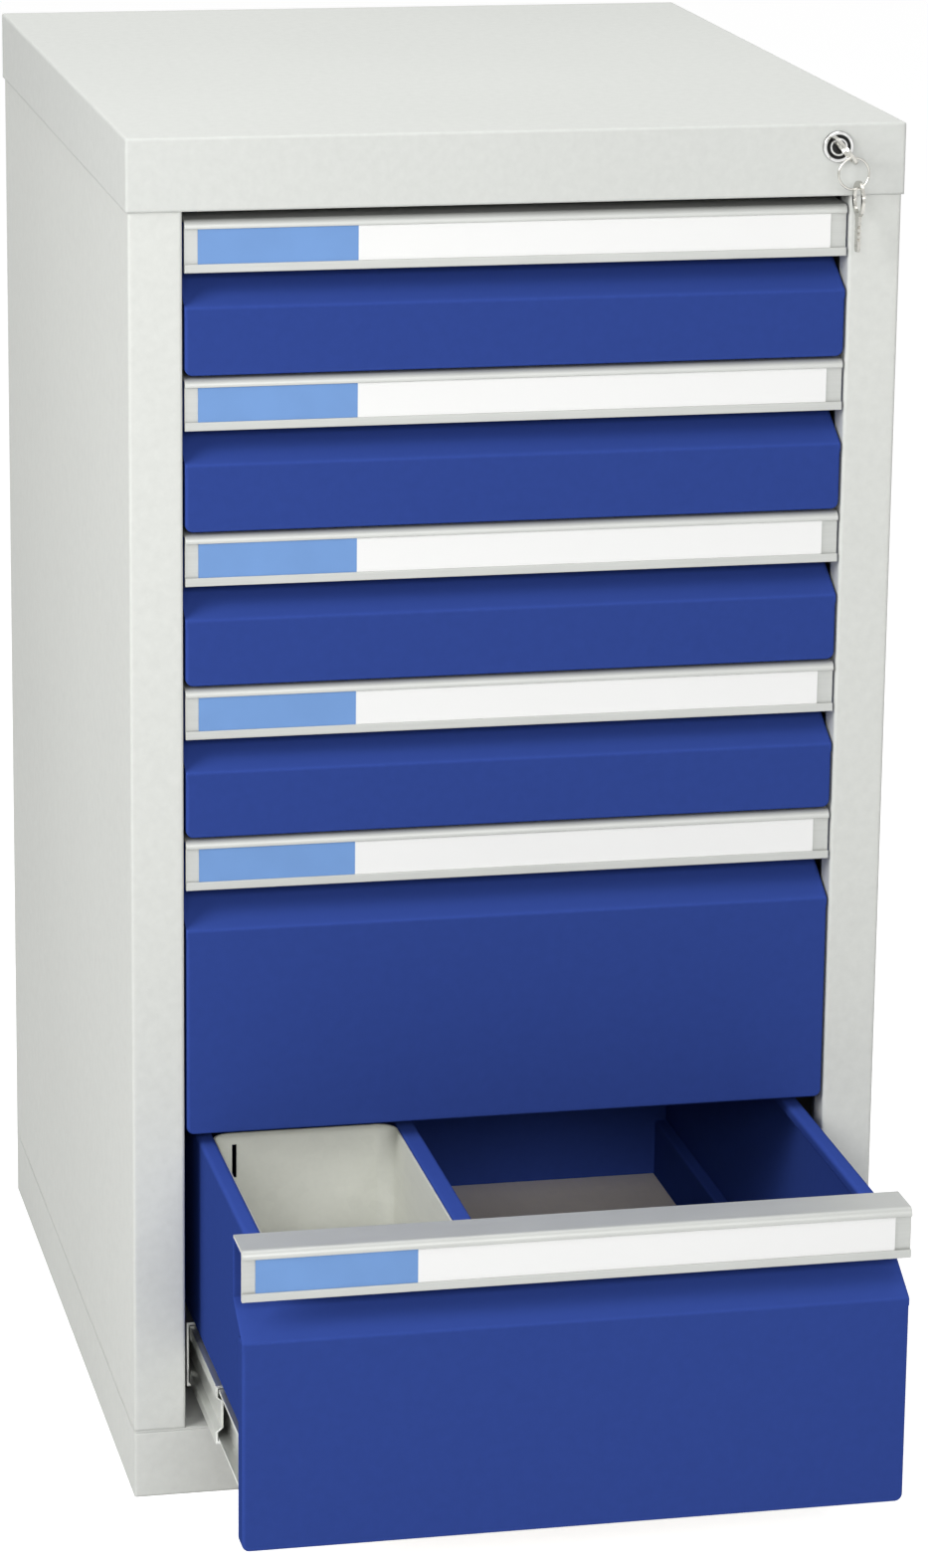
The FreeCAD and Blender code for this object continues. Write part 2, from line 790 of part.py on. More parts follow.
def build():
    """Every named piece of the cabinet."""
    drawers = drawer_places()
    right_side = side_panel()
    parts = {
        "top_cover": top_cover(),
        "left_side_panel": mirrored(right_side),
        "right_side_panel": right_side,
        "back_panel": back_panel(),
        "bottom_panel": bottom_panel(),
        "plinth": plinth(),
        "runner_uprights": runner_uprights(),
        "fixed_runners": fixed_runners(drawers),
        "lock_housing": lock_housing(),
        "lock_plug": lock_plug(),
        "lock_cam": lock_cam(),
        "lock_bar": lock_bar(drawers),
        "lock_bar_guides": lock_bar_guides(),
        "key": key(),
        "key_ring": key_ring(),
        "spare_key": spare_key(),
    }
    for number, place in enumerate(drawers, 1):
        low, height, pull = place
        name = "drawer_%d_" % number
        inner = runner_member("inner", low + runner_rise, pull)
        parts[name + "front"] = drawer_front(*place)
        parts[name + "grip_strip"] = grip_strip(*place)
        parts[name + "label"] = label(*place)
        parts[name + "walls"] = drawer_walls(*place)
        parts[name + "floor"] = drawer_floor(*place)
        parts[name + "inner_runners"] = Part.makeCompound(inner + [lock_catch(low, pull)])
        parts[name + "middle_runners"] = Part.makeCompound(
            runner_member("middle", low + runner_rise, pull))
    last = len(drawers)
    parts["drawer_%d_partition" % last] = partition(*drawers[-1])
    parts["drawer_%d_bay_liner" % last] = bay_liner(*drawers[-1])
    return parts


os.makedirs("parts", exist_ok=True)
for part_name, part_shape in build().items():
    part_shape.exportStep("parts/" + part_name + ".step")
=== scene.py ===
"""Finishes, small fixings and studio for a free-standing steel drawer cabinet.

The cabinet's parts come from the packed frame, in metres: X is the width, -Y the
front, +Z up, and the origin is the centre of the footprint on the floor.
"""
import json
import math

import bmesh
import bpy
from bpy.props import FloatProperty, FloatVectorProperty, IntProperty, PointerProperty
from mathutils import Matrix, Vector

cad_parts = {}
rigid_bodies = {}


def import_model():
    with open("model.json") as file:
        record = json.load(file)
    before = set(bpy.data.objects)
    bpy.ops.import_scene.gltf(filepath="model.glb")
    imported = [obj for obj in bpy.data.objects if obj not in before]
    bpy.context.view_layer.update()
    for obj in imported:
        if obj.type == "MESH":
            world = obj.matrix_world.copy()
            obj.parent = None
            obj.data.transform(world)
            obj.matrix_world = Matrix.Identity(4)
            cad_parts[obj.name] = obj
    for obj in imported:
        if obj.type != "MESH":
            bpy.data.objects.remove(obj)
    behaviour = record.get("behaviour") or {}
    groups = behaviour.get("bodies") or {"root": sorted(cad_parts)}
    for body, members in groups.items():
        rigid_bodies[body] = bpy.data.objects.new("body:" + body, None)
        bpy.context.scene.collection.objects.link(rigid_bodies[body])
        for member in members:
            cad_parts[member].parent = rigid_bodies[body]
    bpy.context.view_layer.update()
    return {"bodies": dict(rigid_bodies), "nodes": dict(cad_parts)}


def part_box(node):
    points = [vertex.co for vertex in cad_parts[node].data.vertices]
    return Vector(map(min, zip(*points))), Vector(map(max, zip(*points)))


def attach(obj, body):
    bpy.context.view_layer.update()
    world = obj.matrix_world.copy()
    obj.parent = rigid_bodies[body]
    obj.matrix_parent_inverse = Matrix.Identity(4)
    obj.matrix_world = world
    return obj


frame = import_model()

bl_info = {
    "name": "Drawer Cabinet Finish",
    "version": (1, 0, 0),
    "blender": (4, 5, 0),
    "location": "View3D > Sidebar > Cabinet",
    "description": "Paint, metal, labels, fixings and studio for a steel drawer cabinet",
    "category": "Object",
}

drawer_numbers = sorted(int(name.split("_")[1]) for name in frame["bodies"]
                        if name.startswith("drawer_") and name.count("_") == 1)
painted_grey_nodes = ("left_side_panel", "right_side_panel", "back_panel", "bottom_panel", "plinth")
# Parts given near-black steel as painted shade in the gaps inside the carcass
shade_black_nodes = ("runner_uprights", "lock_bar_guides")
moving_lock_nodes = ("lock_cam", "lock_bar")
key_nodes = ("key", "key_ring", "spare_key")
open_drawer = "drawer_%d" % drawer_numbers[-1]
# (radius in metres, tone) of the rings on the lock's face: the bright rings keep the chrome's tone,
# the dark rings are painted shade and dark reflection of its recesses
plug_shade_rings = ((0.0, 0.04), (0.0044, 0.04), (0.0047, 0.9),
              (0.0055, 0.9), (0.0058, 0.03), (0.0100, 0.03))
housing_shade_rings = ((0.0, 0.03), (0.0077, 0.03), (0.0081, 1.0), (0.0094, 1.0), (0.0100, 0.35))
# (share of the head's radius, share of its height), from the middle out
rivet_profile = ((0.0, 0.55), (0.28, 0.55), (0.322, 0.95), (0.55, 1.0),
                 (0.8, 0.82), (0.95, 0.45), (1.0, 0.0))
rivet_segments = 20
# Specular level of each paint, and how much lighter its painted highlight along edges and folds is
grey_sheen = 0.12
grey_highlight_gain = 1.16
blue_sheen = 0.0
blue_highlight_gain = 2.0
# Rounding of the metals' edges in metres
sheet_edge = 0.0008
drawn_edge = 0.0006
polished_edge = 0.0003
# The floor's colour, and the light it adds where it is seen directly
floor_grey = 0.7
floor_glow = 0.75
# (name, place, width, height) of each lamp, and the point that all of them face
lamps = (("side", (-2.1, -1.4, 1.8), 1.2, 1.2),
         ("fill", (-0.3, -3.4, 1.6), 2.4, 0.6),
         ("over", (0.0, 0.1, 2.9), 1.6, 1.6))
lamp_target = (0.0, -0.2, 0.55)


def colour_setting(name, description, default):
    return FloatVectorProperty(name=name, description=description, default=default,
                               size=3, min=0.0, max=1.0, subtype="COLOR")


def length_setting(name, description, default):
    return FloatProperty(name=name, description=description, default=default,
                         min=0.0, unit="LENGTH", subtype="DISTANCE", precision=5)


def share_setting(name, description, default):
    return FloatProperty(name=name, description=description, default=default,
                         min=0.0, max=1.0, subtype="FACTOR")


class CabinetPaint(bpy.types.PropertyGroup):
    """Powder coat colours and texture."""

    cover: colour_setting("Cover grey", "Powder coat of the top cover", (0.585, 0.597, 0.572))
    body: colour_setting("Body grey", "Powder coat of sides, back and plinth", (0.61, 0.621, 0.592))
    front: colour_setting("Front blue", "Powder coat of the drawers", (0.0275, 0.0545, 0.240))
    grain: length_setting("Texture grain", "Size of the coat's fine texture", 0.0011)
    mottle: length_setting("Mottle size", "Size of the coat's slight tone changes", 0.006)
    # Painted highlight: width of the edge rounding, over which the coat is lightened as if light
    # caught the edges and folds
    rounding_and_highlight_width: length_setting("Fold width", "Width of the thinner coat along edges", 0.0026)
    gloss: share_setting("Roughness", "Roughness of the dry coat", 0.58)
    # Painted highlight: blue faces that look up are lightened as if lit from above
    upward_highlight: share_setting("Ledge dust", "Lighter veil on blue faces that look up", 0.34)


class CabinetMetal(bpy.types.PropertyGroup):
    """Colours of the bare and plated metals."""

    aluminium: colour_setting("Grip aluminium", "Satin anodised strip", (0.48, 0.49, 0.47))
    sheet: colour_setting("Zinc sheet", "Dull zinc plated sheet", (0.69, 0.70, 0.635))
    # The drawers' floors have a warmer zinc tone, and are lighter than the sheet zinc as painted
    # light standing for light bounced onto them
    floor: colour_setting("Floor zinc", "Warmer zinc of the drawers' floors", (0.86, 0.79, 0.70))
    runner: colour_setting("Runner zinc", "Bright zinc of runners and bar", (0.66, 0.67, 0.64))
    chrome: colour_setting("Lock chrome", "Chrome of the lock's housing", (0.80, 0.80, 0.79))
    nickel: colour_setting("Key nickel", "Nickel of keys and ring", (0.55, 0.54, 0.50))
    # Painted shade: near-black steel for the uprights and guides, so that the gaps beside the
    # drawers look shaded
    inner: colour_setting("Inner steel", "Dark phosphated steel inside the carcass",
                          (0.05, 0.05, 0.05))
    spangle: length_setting("Spangle size", "Size of the crystals on zinc sheet", 0.009)


class CabinetLabel(bpy.types.PropertyGroup):
    """Label cards in the grip strips."""

    card: colour_setting("Card white", "Blank part of the card", (0.77, 0.77, 0.76))
    field: colour_setting("Field blue", "Plain colour field at the left", (0.140, 0.272, 0.545))
    field_length: length_setting("Field length", "Length of the colour field", 0.1015)
    fibre: length_setting("Fibre size", "Size of the paper's fibres", 0.0007)


class CabinetFixings(bpy.types.PropertyGroup):
    """Rivets on the back and on the runners."""

    rivet_radius: length_setting("Rivet radius", "Radius of a rivet's head", 0.0032)
    rivet_height: length_setting("Rivet height", "Height of a rivet's head", 0.0011)
    back_rivets: IntProperty(name="Back rivets", description="Rivets down each edge of the back",
                             default=7, min=2, max=20)
    back_inset: length_setting("Back inset", "From the cabinet's side to the rivets", 0.0125)
    back_foot: length_setting("Back foot", "From the side's lower end to the first rivet", 0.03)
    back_head: length_setting("Back head", "From the last rivet to the side's upper end", 0.06)
    runner_rivets: IntProperty(name="Runner rivets", description="Rivets along each runner member",
                               default=4, min=2, max=10)
    runner_inset: length_setting("Runner inset", "From the runner's end to its first rivet", 0.036)
    web_depth: length_setting("Web depth", "From a runner's flange edges in to its web", 0.0074)


class CabinetStudio(bpy.types.PropertyGroup):
    """Camera, lamps and floor."""

    camera_place: FloatVectorProperty(name="Camera place", description="Where the camera stands",
                                      default=(-0.7201, -3.4523, 1.3915), size=3, unit="LENGTH",
                                      subtype="TRANSLATION")
    yaw: FloatProperty(name="Yaw", description="Turn of the view from +Y towards +X",
                       default=math.radians(12.296), unit="ROTATION", subtype="ANGLE")
    pitch: FloatProperty(name="Pitch", description="Tilt of the view below the horizon",
                         default=math.radians(14.946), unit="ROTATION", subtype="ANGLE")
    roll: FloatProperty(name="Roll", description="Turn of the camera about its view",
                        default=math.radians(0.655), unit="ROTATION", subtype="ANGLE")
    lens: FloatProperty(name="Lens", description="Focal length on a 36 mm long side",
                        default=119.68, min=1.0, unit="CAMERA")
    lift: FloatProperty(name="Shift", description="Vertical shift as a share of the long side",
                        default=-0.05)
    sky: FloatProperty(name="Sky", description="Level of the even light from all round",
                       default=0.33, min=0.0)
    side_power: FloatProperty(name="Side", description="Power of the lamp at the front left",
                              default=41.0, min=0.0, unit="POWER")
    fill_power: FloatProperty(name="Fill", description="Power of the lamp beside the camera",
                              default=55.5, min=0.0, unit="POWER")
    over_power: FloatProperty(name="Over", description="Power of the lamp over the top",
                              default=30.5, min=0.0, unit="POWER")
    floor_size: length_setting("Floor size", "Length of the floor's side", 60.0)


def new_finish(name):
    """A new node material; returns it with its tree and its surface shader."""
    material = bpy.data.materials.new(name)
    material.use_nodes = True
    tree = material.node_tree
    tree.nodes.clear()
    output = tree.nodes.new("ShaderNodeOutputMaterial")
    surface = tree.nodes.new("ShaderNodeBsdfPrincipled")
    tree.links.new(surface.outputs["BSDF"], output.inputs["Surface"])
    return material, tree, surface


def spread_out(tree):
    """Sets the tree's nodes in columns, so that the graph can be read."""
    columns = {}
    for node in tree.nodes:
        depth = 0
        front = [node]
        while front and depth < 12:
            following = [link.to_node for each in front for out in each.outputs
                         for link in out.links]
            depth += 1 if following else 0
            front = following
        row = columns.get(depth, 0)
        columns[depth] = row + 1
        node.location = (-260 * depth, -320 * row)


def pattern_place(tree, stretch=(1.0, 1.0, 1.0)):
    """The part's own coordinates in metres, stretched along each axis."""
    place = tree.nodes.new("ShaderNodeTexCoord")
    mapping = tree.nodes.new("ShaderNodeMapping")
    mapping.inputs["Scale"].default_value = stretch
    tree.links.new(place.outputs["Object"], mapping.inputs["Vector"])
    return mapping.outputs["Vector"]


def noise(tree, place, size, detail=2.0, roughness=0.5):
    """Noise with features of about the given size in metres."""
    node = tree.nodes.new("ShaderNodeTexNoise")
    node.inputs["Scale"].default_value = 1.0 / size
    node.inputs["Detail"].default_value = detail
    node.inputs["Roughness"].default_value = roughness
    tree.links.new(place, node.inputs["Vector"])
    return node.outputs["Fac"]


def cells(tree, place, size):
    """A random value for each crystal of about the given size in metres."""
    node = tree.nodes.new("ShaderNodeTexVoronoi")
    node.inputs["Scale"].default_value = 1.0 / size
    tree.links.new(place, node.inputs["Vector"])
    grey = tree.nodes.new("ShaderNodeRGBToBW")
    tree.links.new(node.outputs["Color"], grey.inputs["Color"])
    return grey.outputs["Val"]


def remap(tree, value, low, high, from_low=0.0, from_high=1.0):
    """The value moved from one range to another, and held inside it."""
    node = tree.nodes.new("ShaderNodeMapRange")
    node.inputs["From Min"].default_value = from_low
    node.inputs["From Max"].default_value = from_high
    node.inputs["To Min"].default_value = low
    node.inputs["To Max"].default_value = high
    tree.links.new(value, node.inputs["Value"])
    return node.outputs["Result"]


def combine(tree, operation, first, second):
    """Two values joined by a sum or a comparison; the second may be a plain number."""
    node = tree.nodes.new("ShaderNodeMath")
    node.operation = operation
    tree.links.new(first, node.inputs[0])
    if isinstance(second, float):
        node.inputs[1].default_value = second
    else:
        tree.links.new(second, node.inputs[1])
    return node.outputs["Value"]


def scaled(colour, factor):
    return tuple(min(channel * factor, 1.0) for channel in colour) + (1.0,)


def ramp(tree, value, stops):
    """A colour ramp from (position, colour) stops."""
    node = tree.nodes.new("ShaderNodeValToRGB")
    band = node.color_ramp
    band.elements[0].position, band.elements[0].color = stops[0]
    band.elements[1].position, band.elements[1].color = stops[-1]
    for position, colour in stops[1:-1]:
        band.elements.new(position).color = colour
    tree.links.new(value, node.inputs["Fac"])
    return node.outputs["Color"]


def mixed(tree, factor, first, second):
    """Two colours mixed by a factor; the second may be a plain colour."""
    node = tree.nodes.new("ShaderNodeMix")
    node.data_type = "RGBA"
    tree.links.new(factor, node.inputs["Factor"])
    tree.links.new(first, node.inputs["A"])
    if isinstance(second, tuple):
        node.inputs["B"].default_value = second
    else:
        tree.links.new(second, node.inputs["B"])
    return node.outputs["Result"]


def relief(tree, surface, height, depth, strength, normal=None):
    """Bumps of the given depth in metres on the surface shader."""
    node = tree.nodes.new("ShaderNodeBump")
    node.inputs["Strength"].default_value = strength
    node.inputs["Distance"].default_value = depth
    tree.links.new(height, node.inputs["Height"])
    if normal is not None:
        tree.links.new(normal, node.inputs["Normal"])
    tree.links.new(node.outputs["Normal"], surface.inputs["Normal"])


def rounded_edges(tree, width):
    """A normal that rounds edges and folds over the given width."""
    soft = tree.nodes.new("ShaderNodeBevel")
    soft.samples = 4
    soft.inputs["Radius"].default_value = width
    return soft.outputs["Normal"]


def edge_mask(tree, rounded):
    """Mask that is 1 where the rounded normal leaves the face's own, and 0 on flats."""
    flat = tree.nodes.new("ShaderNodeNewGeometry")
    compare = tree.nodes.new("ShaderNodeVectorMath")
    compare.operation = "DOT_PRODUCT"
    tree.links.new(rounded, compare.inputs[0])
    tree.links.new(flat.outputs["True Normal"], compare.inputs[1])
    return remap(tree, compare.outputs["Value"], 1.0, 0.0, 0.86, 0.985)


def looking_up(tree, amount):
    """Mask that rises to the given amount on faces that look up."""
    shape = tree.nodes.new("ShaderNodeNewGeometry")
    split = tree.nodes.new("ShaderNodeSeparateXYZ")
    tree.links.new(shape.outputs["True Normal"], split.inputs["Vector"])
    return remap(tree, split.outputs["Z"], 0.0, amount, 0.1, 0.7)


def powder_coat(name, colour, paint, sheen, highlight_gain, upward_highlight=0.0):
    """Powder coat: fine orange peel, slight tone changes, painted highlight along edges and folds.
    """
    material, tree, surface = new_finish(name)
    place = pattern_place(tree)
    mottle = noise(tree, place, paint.mottle, detail=4.0, roughness=0.62)
    cloud = noise(tree, place, 0.35, detail=1.0)
    tone = combine(tree, "ADD", combine(tree, "MULTIPLY", mottle, 0.65),
                   combine(tree, "MULTIPLY", cloud, 0.35))
    coat = ramp(tree, tone, [(0.30, scaled(colour, 0.955)), (0.5, scaled(colour, 1.0)),
                             (0.70, scaled(colour, 1.045))])
    rounded = rounded_edges(tree, paint.rounding_and_highlight_width)
    # Painted highlight: lighter colour along edges and folds, as where light catches their rounding
    painted_highlight = remap(tree, edge_mask(tree, rounded), 0.0, 0.65)
    # Painted highlight on faces that look up, as if lit from above
    if upward_highlight:
        painted_highlight = combine(tree, "MAXIMUM", painted_highlight, looking_up(tree, upward_highlight))
    tree.links.new(mixed(tree, painted_highlight, coat, scaled(colour, highlight_gain)),
                   surface.inputs["Base Color"])
    grain = noise(tree, place, paint.grain, detail=3.0, roughness=0.6)
    tree.links.new(remap(tree, grain, paint.gloss - 0.05, paint.gloss + 0.06, 0.3, 0.7),
                   surface.inputs["Roughness"])
    relief(tree, surface, grain, 0.00006, 0.5, rounded)
    surface.inputs["Specular IOR Level"].default_value = sheen
    spread_out(tree)
    return material


def zinc_sheet(name, colour, metal):
    """Dull zinc plated sheet with faint crystals and rolling marks."""
    material, tree, surface = new_finish(name)
    place = pattern_place(tree)
    crystal = cells(tree, place, metal.spangle)
    rolled = noise(tree, pattern_place(tree, (1.0, 0.06, 1.0)), 0.004, detail=3.0)
    tone = combine(tree, "ADD", combine(tree, "MULTIPLY", crystal, 0.4),
                   combine(tree, "MULTIPLY", rolled, 0.6))
    tree.links.new(ramp(tree, tone, [(0.2, scaled(colour, 0.965)), (0.5, scaled(colour, 1.0)),
                                     (0.8, scaled(colour, 1.03))]),
                   surface.inputs["Base Color"])
    tree.links.new(remap(tree, crystal, 0.46, 0.56), surface.inputs["Roughness"])
    surface.inputs["Metallic"].default_value = 0.1
    surface.inputs["Specular IOR Level"].default_value = 0.2
    relief(tree, surface, rolled, 0.00005, 0.35, rounded_edges(tree, sheet_edge))
    spread_out(tree)
    return material


def brushed_metal(name, colour, along, metallic, roughness):
    """Drawn or brushed metal with fine lines along one axis."""
    material, tree, surface = new_finish(name)
    stretch = [1.0, 1.0, 1.0]
    stretch["XYZ".index(along)] = 0.015
    lines = noise(tree, pattern_place(tree, tuple(stretch)), 0.0009, detail=3.0, roughness=0.65)
    cloud = noise(tree, pattern_place(tree), 0.05, detail=2.0)
    tone = combine(tree, "ADD", combine(tree, "MULTIPLY", lines, 0.6),
                   combine(tree, "MULTIPLY", cloud, 0.4))
    tree.links.new(ramp(tree, tone, [(0.3, scaled(colour, 0.93)), (0.5, scaled(colour, 1.0)),
                                     (0.7, scaled(colour, 1.05))]),
                   surface.inputs["Base Color"])
    tree.links.new(remap(tree, lines, roughness - 0.06, roughness + 0.08, 0.3, 0.7),
                   surface.inputs["Roughness"])
    surface.inputs["Metallic"].default_value = metallic
    relief(tree, surface, lines, 0.00003, 0.4, rounded_edges(tree, drawn_edge))
    spread_out(tree)
    return material


def rings_about(tree, axis, rings):
    """Tones in rings about an axis along Y, from (radius, tone) stops."""
    place = pattern_place(tree, (1.0, 0.0, 1.0))
    place.node.inputs["Location"].default_value = (-axis.x, 0.0, -axis.z)
    away = tree.nodes.new("ShaderNodeVectorMath")
    away.operation = "LENGTH"
    tree.links.new(place, away.inputs[0])
    reach = rings[-1][0]
    return ramp(tree, remap(tree, away.outputs["Value"], 0.0, 1.0, 0.0, reach),
                [(radius / reach, (tone, tone, tone, 1.0)) for radius, tone in rings])


def polished_metal(name, colour, roughness, axis=None, rings=()):
    """Plated metal with handling smudges, hairline scratches and rings of painted shade."""
    material, tree, surface = new_finish(name)
    smudge = noise(tree, pattern_place(tree), 0.004, detail=3.0)
    scratch = noise(tree, pattern_place(tree, (1.0, 0.05, 0.4)), 0.0006, detail=2.0)
    plating = ramp(tree, smudge, [(0.3, scaled(colour, 0.88)), (0.6, scaled(colour, 1.0)),
                                  (0.8, scaled(colour, 1.06))])
    if rings:
        tones = tree.nodes.new("ShaderNodeMix")
        tones.data_type = "RGBA"
        tones.blend_type = "MULTIPLY"
        tones.inputs["Factor"].default_value = 1.0
        tree.links.new(plating, tones.inputs["A"])
        tree.links.new(rings_about(tree, axis, rings), tones.inputs["B"])
        plating = tones.outputs["Result"]
    tree.links.new(plating, surface.inputs["Base Color"])
    tree.links.new(remap(tree, smudge, roughness, roughness + 0.14, 0.35, 0.75),
                   surface.inputs["Roughness"])
    surface.inputs["Metallic"].default_value = 1.0
    relief(tree, surface, scratch, 0.00002, 0.3, rounded_edges(tree, polished_edge))
    spread_out(tree)
    return material


def label_card(label, left_edge):
    """Card with a plain colour field at its left end."""
    material, tree, surface = new_finish("label_card")
    place = tree.nodes.new("ShaderNodeTexCoord")
    split = tree.nodes.new("ShaderNodeSeparateXYZ")
    tree.links.new(place.outputs["Object"], split.inputs["Vector"])
    field_end = left_edge + label.field_length
    blank = remap(tree, split.outputs["X"], 0.0, 1.0, field_end - 0.0002, field_end + 0.0002)
    fibre = noise(tree, place.outputs["Object"], label.fibre, detail=4.0, roughness=0.7)
    print_tone = noise(tree, place.outputs["Object"], 0.03, detail=2.0)
    field, card = tuple(label.field), tuple(label.card)
    inked = ramp(tree, print_tone, [(0.3, scaled(field, 0.97)), (0.7, scaled(field, 1.04))])
    plain_card = ramp(tree, fibre, [(0.3, scaled(card, 0.985)), (0.7, scaled(card, 1.01))])
    tree.links.new(mixed(tree, blank, inked, plain_card), surface.inputs["Base Color"])
    tree.links.new(remap(tree, fibre, 0.5, 0.62), surface.inputs["Roughness"])
    relief(tree, surface, fibre, 0.00002, 0.4)
    surface.inputs["Specular IOR Level"].default_value = 0.3
    spread_out(tree)
    return material


def give(node_names, material):
    """Puts a finish on whole parts of the frame."""
    for name in node_names:
        part = frame["nodes"][name]
        part.data.materials.clear()
        part.data.materials.append(material)


def turned(profile, segments):
    """A bmesh turned about +Z from a (radius, height) profile; it starts on the axis."""
    mesh = bmesh.new()
    top = mesh.verts.new((0.0, 0.0, profile[0][1]))
    rings = []
    for radius, height in profile[1:]:
        rings.append([mesh.verts.new((radius * math.cos(2 * math.pi * i / segments),
                                      radius * math.sin(2 * math.pi * i / segments), height))
                      for i in range(segments)])
    for i in range(segments):
        mesh.faces.new((top, rings[0][i], rings[0][(i + 1) % segments]))
        for inner, outer in zip(rings, rings[1:]):
            mesh.faces.new((inner[i], outer[i], outer[(i + 1) % segments],
                            inner[(i + 1) % segments]))
    mesh.faces.new(rings[-1][::-1])
    bmesh.ops.recalc_face_normals(mesh, faces=mesh.faces)
    for face in mesh.faces:
        face.smooth = True
    return mesh


def rivet_heads(name, places, facing, fixings):
    """One object of low rivet heads at the given points, all facing one way."""
    profile = [(across * fixings.rivet_radius, up * fixings.rivet_height)
               for across, up in rivet_profile]
    turn = Vector((0, 0, 1)).rotation_difference(Vector(facing)).to_matrix().to_4x4()
    together = bmesh.new()
    for place in places:
        head = turned(profile, rivet_segments)
        head.transform(Matrix.Translation(place) @ turn)
        single = bpy.data.meshes.new("one_head")
        head.to_mesh(single)
        head.free()
        together.from_mesh(single)
        bpy.data.meshes.remove(single)
    mesh = bpy.data.meshes.new(name)
    together.to_mesh(mesh)
    together.free()
    piece = bpy.data.objects.new(name, mesh)
    bpy.context.scene.collection.objects.link(piece)
    return piece


def evenly(low, high, count):
    """Evenly spaced values from low to high."""
    return [low + (high - low) * i / (count - 1) for i in range(count)]


class CABINET_OT_paint_carcass(bpy.types.Operator):
    """Give the cover, sides, back, bottom and plinth their grey powder coat"""

    bl_idname = "cabinet.paint_carcass"
    bl_label = "Paint Carcass"

    def execute(self, context):
        paint = context.scene.cabinet_paint
        give(["top_cover"], powder_coat("cover_grey", tuple(paint.cover), paint,
                                        grey_sheen, grey_highlight_gain))
        give(painted_grey_nodes, powder_coat("body_grey", tuple(paint.body), paint,
                                             grey_sheen, grey_highlight_gain))
        return {"FINISHED"}


class CABINET_OT_paint_drawers(bpy.types.Operator):
    """Give the drawer fronts, walls and partition their blue powder coat"""

    bl_idname = "cabinet.paint_drawers"
    bl_label = "Paint Drawers"

    def execute(self, context):
        paint = context.scene.cabinet_paint
        blue = powder_coat("front_blue", tuple(paint.front), paint, blue_sheen,
                           blue_highlight_gain, paint.upward_highlight)
        for number in drawer_numbers:
            give(["drawer_%d_front" % number, "drawer_%d_walls" % number], blue)
        give([open_drawer + "_partition"], blue)
        return {"FINISHED"}


class CABINET_OT_finish_grip_strips(bpy.types.Operator):
    """Give the grip strips their satin aluminium"""

    bl_idname = "cabinet.finish_grip_strips"
    bl_label = "Finish Grip Strips"

    def execute(self, context):
        metal = context.scene.cabinet_metal
        aluminium = brushed_metal("grip_aluminium", tuple(metal.aluminium), "X", 0.28, 0.46)
        give(["drawer_%d_grip_strip" % number for number in drawer_numbers], aluminium)
        return {"FINISHED"}


class CABINET_OT_print_labels(bpy.types.Operator):
    """Give the label cards their colour field and blank part"""

    bl_idname = "cabinet.print_labels"
    bl_label = "Print Labels"

    def execute(self, context):
        names = ["drawer_%d_label" % number for number in drawer_numbers]
        left_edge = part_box(names[0])[0].x
        give(names, label_card(context.scene.cabinet_label, left_edge))
        return {"FINISHED"}


class CABINET_OT_finish_drawer_linings(bpy.types.Operator):
    """Give floors and the bay liner dull zinc, and uprights and guides near-black steel as painted
    shade
    """

    bl_idname = "cabinet.finish_drawer_linings"
    bl_label = "Finish Drawer Linings"

    def execute(self, context):
        metal = context.scene.cabinet_metal
        give([open_drawer + "_bay_liner"], zinc_sheet("galvanised", tuple(metal.sheet), metal))
        give(shade_black_nodes, zinc_sheet("phosphated", tuple(metal.inner), metal))
        give(["drawer_%d_floor" % number for number in drawer_numbers],
             zinc_sheet("floor_zinc", tuple(metal.floor), metal))
        return {"FINISHED"}


class CABINET_OT_finish_runners(bpy.types.Operator):
    """Give the runner members their bright zinc"""

    bl_idname = "cabinet.finish_runners"
    bl_label = "Finish Runners"

    def execute(self, context):
        metal = context.scene.cabinet_metal
        zinc = brushed_metal("runner_zinc", tuple(metal.runner), "Y", 0.9, 0.36)
        give(["fixed_runners"], zinc)
        for number in drawer_numbers:
            give(["drawer_%d_inner_runners" % number, "drawer_%d_middle_runners" % number], zinc)
        return {"FINISHED"}


class CABINET_OT_finish_lock(bpy.types.Operator):
    """Give the lock, its cam and bar, the keys and the ring their metals"""

    bl_idname = "cabinet.finish_lock"
    bl_label = "Finish Lock"

    def execute(self, context):
        metal = context.scene.cabinet_metal
        low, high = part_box("lock_housing")
        axis = (low + high) / 2
        give(["lock_housing"], polished_metal("lock_chrome", tuple(metal.chrome), 0.12, axis,
                                              housing_shade_rings))
        give(["lock_plug"], polished_metal("lock_core", tuple(metal.chrome), 0.2, axis,
                                           plug_shade_rings))
        give(key_nodes, polished_metal("key_nickel", tuple(metal.nickel), 0.16))
        give(moving_lock_nodes,
             brushed_metal("bar_zinc", tuple(metal.runner), "Z", 0.9, 0.38))
        return {"FINISHED"}


